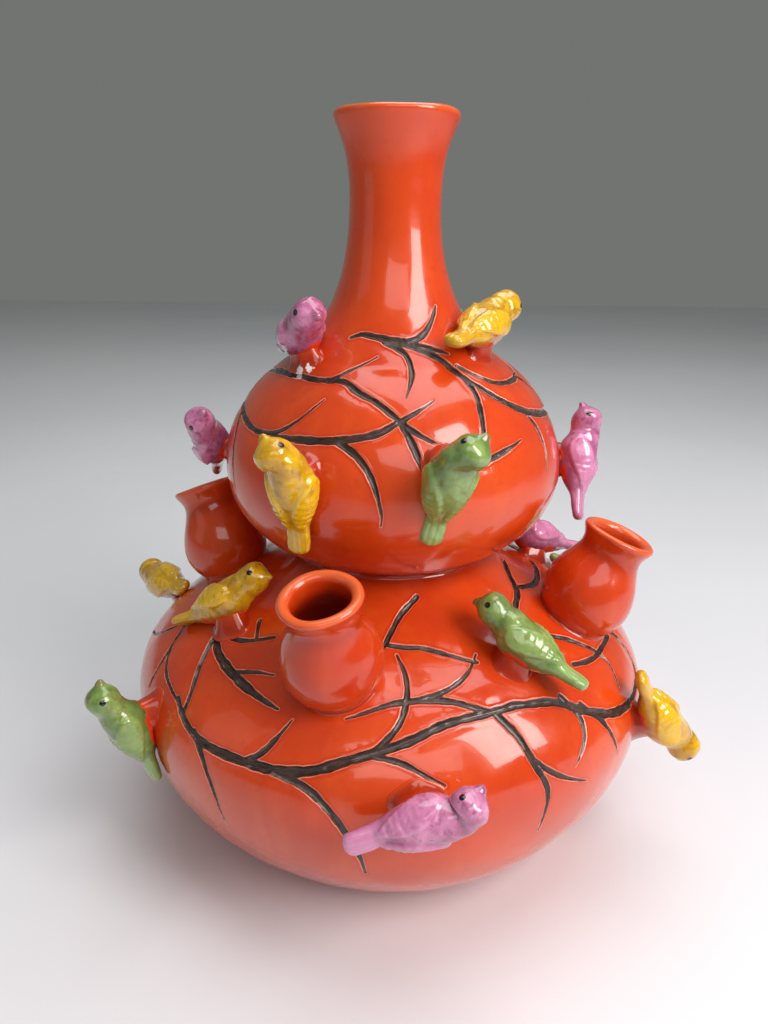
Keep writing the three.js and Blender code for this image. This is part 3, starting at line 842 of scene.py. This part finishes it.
def make_pad(name, place, material, seed):
    """A mound of clay smeared up from the wall to the bird's breast."""
    at, level = wall_axes(*place[:3])
    tilted = wall_axes(*place)[1]
    around = angles_round(PAD_COLUMNS)
    wobble = 1 + 0.05 * np.sin(2 * around + seed) + 0.04 * np.sin(5 * around + 3 * seed)
    oval = np.stack([np.cos(around) * wobble, np.sin(around) * wobble, 0 * around], 1)

    def on_skin(length, width, lift):
        start = at + (oval * [length, width, 0]) @ level
        outward = np.tile(level[2], (len(start), 1))
        return start + outward * (meets_vase(start, outward, -25, 25) + lift)[:, None]

    def under_bird(length, width, lift):
        return at + (oval * [length, width, 0] + [0, 0, lift]) @ tilted

    bottom = on_skin(14, 11, -0.3)
    corner = on_skin(11, 8, 0.4)
    top = under_bird(9.5, 7, 7)
    slope = fillet(bottom, corner, top)
    rings = np.concatenate([on_skin(12, 9, -3.5)[None], slope, under_bird(6.5, 4.5, 9)[None]])
    ends = np.array([at - level[2] * 3.5, at + tilted[2] * 9.5])
    points = np.vstack([rings.reshape(-1, 3), ends])
    share = np.repeat(np.r_[0, np.linspace(0, 1, len(slope)), 1], PAD_COLUMNS)
    # Painted shade along the pad's slope, in the corner between the wall and the bird, partly glaze pooled
    # there.
    values = glazed(len(points), pooled=np.r_[0.8 * np.sin(np.pi * share), 0, 0])
    faces = capped_grid(len(rings), PAD_COLUMNS)
    piece = mesh_piece("pad_" + name + "_glazed", points, faces, material, values)
    finished(piece, "pad_" + name)


# ------------------------------------------------------------------ materials

COAT_ROUGHNESS = 0.03


class Graph:
    """Short ways to write a material's nodes."""

    def __init__(self, name):
        self.material = bpy.data.materials.new(name)
        self.material.use_nodes = True
        self.nodes = self.material.node_tree.nodes
        self.links = self.material.node_tree.links
        self.shader = self.nodes["Principled BSDF"]
        self.place = self.nodes.new("ShaderNodeTexCoord").outputs["Object"]

    def feed(self, socket, value):
        if isinstance(value, bpy.types.NodeSocket):
            self.links.new(value, socket)
        elif value is not None:
            socket.default_value = value

    def add(self, kind, inputs=(), output=0, **settings):
        """One of the outputs of a new node, made with these settings and inputs."""
        node = self.nodes.new("ShaderNode" + kind)
        for name, setting in settings.items():
            setattr(node, name, setting)
        for socket, value in dict(inputs).items():
            self.feed(node.inputs[socket], value)
        return node.outputs[output]

    def math(self, operation, first, second=None):
        return self.add("Math", {0: first, 1: second}, operation=operation)

    def value(self, name):
        return self.add("Attribute", output="Fac", attribute_name=name)

    def vector(self, name):
        return self.add("Attribute", output="Vector", attribute_name=name)

    def parts(self, vector):
        node = self.nodes.new("ShaderNodeSeparateXYZ")
        self.feed(node.inputs[0], vector)
        return node.outputs

    def combined(self, x, y, z):
        return self.add("CombineXYZ", {0: x, 1: y, 2: z})

    def distance(self, vector, point):
        return self.add("VectorMath", {0: vector, 1: point}, "Value", operation="DISTANCE")

    def stretched(self, vector, scale):
        return self.add("Mapping", {"Vector": vector, "Scale": scale})

    def noise(self, vector, scale, detail=3.0, rough=0.5, warp=0.0):
        inputs = {"Vector": vector, "Scale": scale, "Detail": detail, "Roughness": rough}
        return self.add("TexNoise", inputs | {"Distortion": warp}, "Fac")

    def specks(self, vector, scale):
        return self.add("TexVoronoi", {"Vector": vector, "Scale": scale}, "Distance")

    def between(self, value, low, high, start=0.0, end=1.0):
        """Maps value from low..high to start..end, smoothly, and keeps it there."""
        inputs = enumerate((value, low, high, start, end))
        return self.add("MapRange", inputs, interpolation_type="SMOOTHSTEP")

    def mix(self, share, first, second):
        return self.add("Mix", {"Factor": share, 6: first, 7: second}, 2, data_type="RGBA")

    def bump(self, height, distance, strength=1.0, normal=None):
        inputs = {"Strength": strength, "Distance": distance, "Height": height, "Normal": normal}
        return self.add("Bump", inputs)

    def finish(self, color, roughness, normal, coat=0.0, ior=1.5):
        self.feed(self.shader.inputs["Base Color"], color)
        self.feed(self.shader.inputs["Roughness"], roughness)
        self.feed(self.shader.inputs["Normal"], normal)
        self.shader.inputs["IOR"].default_value = ior
        self.shader.inputs["Coat Weight"].default_value = coat
        self.shader.inputs["Coat Roughness"].default_value = COAT_ROUGHNESS
        return self.material


def shade(red, green, blue):
    """A colour given as it looks on a screen, 0 to 255, as Blender's linear values."""
    screen = [value / 255 for value in (red, green, blue)]
    linear = [((c + 0.055) / 1.055) ** 2.4 if c > 0.0393 else c / 12.92 for c in screen]
    return (*linear, 1.0)


# Two spots where the glaze has come off white under one crown bird: azimuth, height, radius.
CHIPS = [(-50, 287.5, 3.6), (-46, 290.5, 3.2)]


def orange_glaze():
    g = Graph("orange_glaze_over_clay")
    cloud = g.noise(g.place, 14, 3, 0.55)
    streak = g.noise(g.stretched(g.place, (55, 55, 7)), 1, 4, 0.6)
    fine = g.noise(g.place, 160, 3, 0.6)
    color = g.mix(g.between(cloud, 0.3, 0.7), shade(200, 56, 14), shade(218, 74, 22))
    color = g.mix(g.between(streak, 0.45, 0.75, 0, 0.35), color, shade(230, 96, 34))
    color = g.mix(g.between(fine, 0.55, 0.8, 0, 0.3), color, shade(184, 46, 10))
    # Painted shade: darker where this mask is set, in the crease under the bulb, inside the vase and the
    # pots, round the pots' necks and in the corners of the clay rings and pads, partly glaze pooled there.
    color = g.mix(g.math("MULTIPLY", g.value("pooled"), 0.8), color, shade(138, 22, 4))
    color = g.mix(g.math("MULTIPLY", g.value("thin"), 0.7), color, shade(238, 112, 62))

    edge = g.math("ADD", g.value("edge"), g.between(g.noise(g.place, 420, 2), 0.2, 0.8, -0.14, 0.14))
    # Painted shade: a darker band along each side of the grooves.
    groove_side_shade = g.between(edge, 0.9, 2.6, 0.45, 0.0)
    color = g.mix(groove_side_shade, color, shade(196, 42, 8))
    pale = g.math("MULTIPLY", g.between(edge, -0.1, 0.05), g.between(edge, 0.25, 0.55, 1.0, 0.0))
    patchy = g.between(g.noise(g.place, 90, 2), 0.3, 0.6, 0.15, 0.8)
    color = g.mix(g.math("MULTIPLY", pale, patchy), color, shade(242, 150, 118))

    along = g.math("MULTIPLY", g.value("along"), 0.05)
    across = g.value("across")
    strokes = g.noise(g.combined(along, across, 0.0), 2.6, 4, 0.65, 0.3)
    blot = g.noise(g.place, 55, 3, 0.6)
    paint = g.mix(g.between(strokes, 0.35, 0.66), shade(20, 15, 15), shade(92, 66, 54))
    paint = g.mix(g.between(blot, 0.45, 0.7, 0, 0.6), paint, shade(36, 26, 26))
    painted = g.between(edge, -0.2, 0.02, 1.0, 0.0)
    color = g.mix(painted, color, paint)

    pit = g.between(g.specks(g.place, 95), 0.0, 0.055, 1.0, 0.0)
    rare = g.between(g.noise(g.place, 31, 1), 0.58, 0.64)
    pit = g.math("MULTIPLY", pit, rare)
    color = g.mix(g.math("MULTIPLY", pit, 0.7), color, shade(120, 30, 14))

    torn = g.between(g.noise(g.place, 260, 3), 0.2, 0.8, -0.0025, 0.0025)
    chipped = 0.0
    for azimuth, height, radius in CHIPS:
        centre, _ = on_vase(np.array(azimuth), length_at(height))
        ragged = g.math("ADD", g.distance(g.place, centre * MM), torn)
        chipped = g.math("MAXIMUM", chipped, g.between(ragged, radius * MM * 0.9, radius * MM, 1.0, 0.0))
    color = g.mix(chipped, color, shade(240, 236, 228))

    rough = g.between(g.noise(g.place, 70, 3), 0.3, 0.7, 0.14, 0.26)
    rough = g.math("ADD", rough, g.math("MULTIPLY", painted, 0.08))
    rough = g.math("MAXIMUM", rough, g.math("MULTIPLY", chipped, 0.8))
    wavy = g.bump(g.noise(g.place, 34, 2), 0.0011, 0.35)
    peel = g.bump(g.noise(g.place, 300, 2), 0.00012, 0.5, wavy)
    brushed = g.bump(g.math("MULTIPLY", strokes, painted), 0.0006, 0.6, peel)
    pitted = g.bump(g.math("MULTIPLY", pit, -1.0), 0.0004, 0.8, brushed)
    return g.finish(color, rough, pitted, coat=0.6, ior=1.42)


# As they look on a screen: deep, middle, light, mottle, tail. Deep is also the painted shade in the birds'
# hollows and underneath.
BIRD_SHADES = {
    "mauve": [(122, 48, 84), (190, 104, 148), (222, 146, 186), (164, 82, 122), (214, 138, 178)],
    "yellow": [(150, 100, 4), (214, 160, 8), (238, 190, 22), (160, 122, 16), (226, 172, 22)],
    "green": [(58, 84, 32), (108, 142, 66), (142, 170, 92), (128, 118, 66), (150, 182, 104)],
}


def bird_glaze(name, *shades):
    g = Graph(name)
    deep, middle, light, mottle, tail = (shade(*screen) for screen in shades)
    rest = g.vector("rest")
    x, y, z = g.parts(rest)
    relief = g.value("relief")
    cloud = g.noise(g.place, 90, 4, 0.6)
    color = g.mix(g.between(cloud, 0.3, 0.7), middle, light)
    blot = g.noise(g.place, 230, 4, 0.65, 0.4)
    on_wings = g.between(x, -24.0, 6.0, 0.25, 0.9)
    color = g.mix(g.math("MULTIPLY", g.between(blot, 0.52, 0.68), on_wings), color, mottle)
    # Darker where the relief is lower: painted shade in the feather grooves, tail grooves and neck fold,
    # and lightly over the plain body, partly glaze pooled there.
    hollow = g.between(g.math("ADD", relief, g.between(cloud, 0.2, 0.8, -0.4, 0.4)), -0.5, 0.5, 1.0, 0.0)
    lobes = g.between(relief, 0.2, 1.4, 0.0, 1.0)
    color = g.mix(g.math("MULTIPLY", hollow, 0.42), color, deep)
    color = g.mix(g.math("MULTIPLY", lobes, 0.25), color, light)
    color = g.mix(g.between(x, -26.0, -19.0, 0.75, 0.0), color, tail)
    # Painted shade: the bird darker underneath, towards the wall.
    under = g.between(z, 4.0, 14.0, 0.75, 0.0)
    color = g.mix(under, color, deep)
    smear = g.math("ADD", z, g.between(g.noise(g.place, 120, 2), 0.3, 0.7, -3.0, 3.0))
    on_body = g.between(x, -17.0, -12.0)
    smear = g.math("MULTIPLY", g.between(smear, 4.5, 7.0, 1.0, 0.0), on_body)
    color = g.mix(smear, color, shade(222, 62, 26))
    speck = g.between(g.specks(g.place, 420), 0.0, 0.11, 1.0, 0.0)
    speck = g.math("MULTIPLY", speck, g.between(g.noise(g.place, 150, 1), 0.56, 0.62))
    color = g.mix(g.math("MULTIPLY", speck, 0.8), color, shade(52, 34, 26))
    side = g.math("ABSOLUTE", y)
    eye = g.between(g.distance(g.combined(x, side, z), EYE), EYE_RADIUS * 0.88, EYE_RADIUS, 1.0, 0.0)
    color = g.mix(eye, color, shade(14, 10, 10))
    beak = g.between(x, 29.4, 31.5, 0.0, 0.6)
    color = g.mix(beak, color, mottle)
    rough = g.between(g.noise(g.place, 210, 3), 0.3, 0.7, 0.1, 0.24)
    lumpy = g.bump(g.noise(g.place, 130, 3), 0.0009, 0.5)
    peel = g.bump(g.noise(g.place, 620, 2), 0.00015, 0.5, lumpy)
    return g.finish(color, rough, peel, coat=0.8)


def bare_clay():
    g = Graph("bare_red_clay")
    grain = g.noise(g.place, 700, 4, 0.7)
    cloud = g.noise(g.place, 40, 3)
    color = g.mix(g.between(cloud, 0.3, 0.7), shade(150, 78, 50), shade(176, 98, 66))
    color = g.mix(g.between(grain, 0.5, 0.75, 0, 0.5), color, shade(112, 60, 42))
    return g.finish(color, g.between(grain, 0.3, 0.7, 0.75, 0.95), g.bump(grain, 0.0004, 0.7))


def table_top():
    g = Graph("pale_table")
    cloud = g.noise(g.place, 1.3, 3)
    color = g.mix(g.between(cloud, 0.3, 0.7), shade(222, 224, 229), shade(230, 231, 235))
    rough = g.between(g.noise(g.place, 60, 3), 0.3, 0.7, 0.42, 0.52)
    return g.finish(color, rough, g.bump(g.noise(g.place, 900, 2), 0.0001, 0.2))


# ------------------------------------------------------------------ camera, light, floor

LENS_HEIGHT = 357.1
LENS_AWAY = 454.4
LOOK_DOWN = 19.73
ROLL = 0.52
YAW = 0.605
LENS = 18.02
FRAME_HEIGHT = 24
LIT_MIDDLE = (0, 0, 0.22)
FLOOR_HALF = 4000.0
FLOOR_STEPS = 8
FLOOR_DROP = 0.2
# Soft lights: place and size in metres, power in watts, tint.
LIGHTS = {
    "window": ((0.9, -0.7, 1.0), (0.6, 0.9), 17, (1, 0.93, 0.91)),
    "room_front": ((0.25, -1.7, 1.5), (1.5, 0.8), 8, (1, 0.98, 0.97)),
    "ceiling": ((0.25, 0.35, 2.1), (1.7, 1.7), 25, (1, 1, 1)),
    "room_left": ((-1.7, -0.7, 0.8), (0.8, 1.2), 1, (0.93, 0.96, 1)),
}


def make_camera():
    data = bpy.data.cameras.new("camera")
    data.sensor_fit = "VERTICAL"
    data.sensor_height = FRAME_HEIGHT
    data.lens = LENS
    data.clip_start = 0.02
    camera = bpy.data.objects.new("camera", data)
    turn = Matrix.Rotation(math.radians(YAW), 4, "Z")
    tip = Matrix.Rotation(math.radians(90 - LOOK_DOWN), 4, "X")
    lean = Matrix.Rotation(math.radians(ROLL), 4, "Z")
    camera.matrix_world = Matrix.Translation((0, -LENS_AWAY * MM, LENS_HEIGHT * MM)) @ turn @ tip @ lean
    bpy.context.scene.collection.objects.link(camera)
    bpy.context.scene.camera = camera


def soft_light(name, place, size, power, tint):
    data = bpy.data.lights.new(name, "AREA")
    data.shape = "RECTANGLE"
    data.size, data.size_y = size
    data.energy = power
    data.color = tint
    light = bpy.data.objects.new(name, data)
    light.location = place
    light.rotation_euler = (Vector(LIT_MIDDLE) - Vector(place)).to_track_quat("-Z", "Y").to_euler()
    bpy.context.scene.collection.objects.link(light)


def make_studio():
    bpy.context.scene.view_settings.view_transform = "Standard"
    for name, light in LIGHTS.items():
        soft_light(name, *light)
    world = bpy.data.worlds.new("studio")
    world.use_nodes = True
    background = world.node_tree.nodes["Background"]
    background.inputs["Color"].default_value = (0.50, 0.53, 0.50, 1)
    background.inputs["Strength"].default_value = 0.33
    bpy.context.scene.world = world


def make_floor():
    marks = np.linspace(-FLOOR_HALF, FLOOR_HALF, FLOOR_STEPS + 1)
    x, y = np.meshgrid(marks, marks)
    points = np.stack([x.ravel(), y.ravel(), np.full(x.size, -FLOOR_DROP)], 1)
    faces = []
    for row in range(FLOOR_STEPS):
        for column in range(FLOOR_STEPS):
            low = row * len(marks) + column
            high = low + len(marks)
            faces.append((low, low + 1, high + 1, high))
    mesh_piece("table", points, faces, table_top())


# ------------------------------------------------------------------ putting it together


def main():
    clay = orange_glaze()
    bare = bare_clay()
    glazes = {name: bird_glaze(name + "_bird_glaze", *shades) for name, shades in BIRD_SHADES.items()}
    branches = BULB_BRANCHES + BELLY_BRANCHES
    skin = Skin(Carving(branches + round_the_back(branches)))
    for number in range(len(SECTIONS)):
        section(skin, number, clay, bare)
    for seed, (name, place) in enumerate(POTS.items()):
        make_pot(name, place, clay, seed)
        make_clay_ring(name + "_clay_ring", place, clay, seed)
    for seed, (name, (glaze, *place, turn)) in enumerate(BIRDS.items()):
        make_bird(name, place, turn, glazes[glaze], 100 + seed)
        make_pad(name, place, clay, seed)
    make_floor()
    make_studio()
    make_camera()


main()
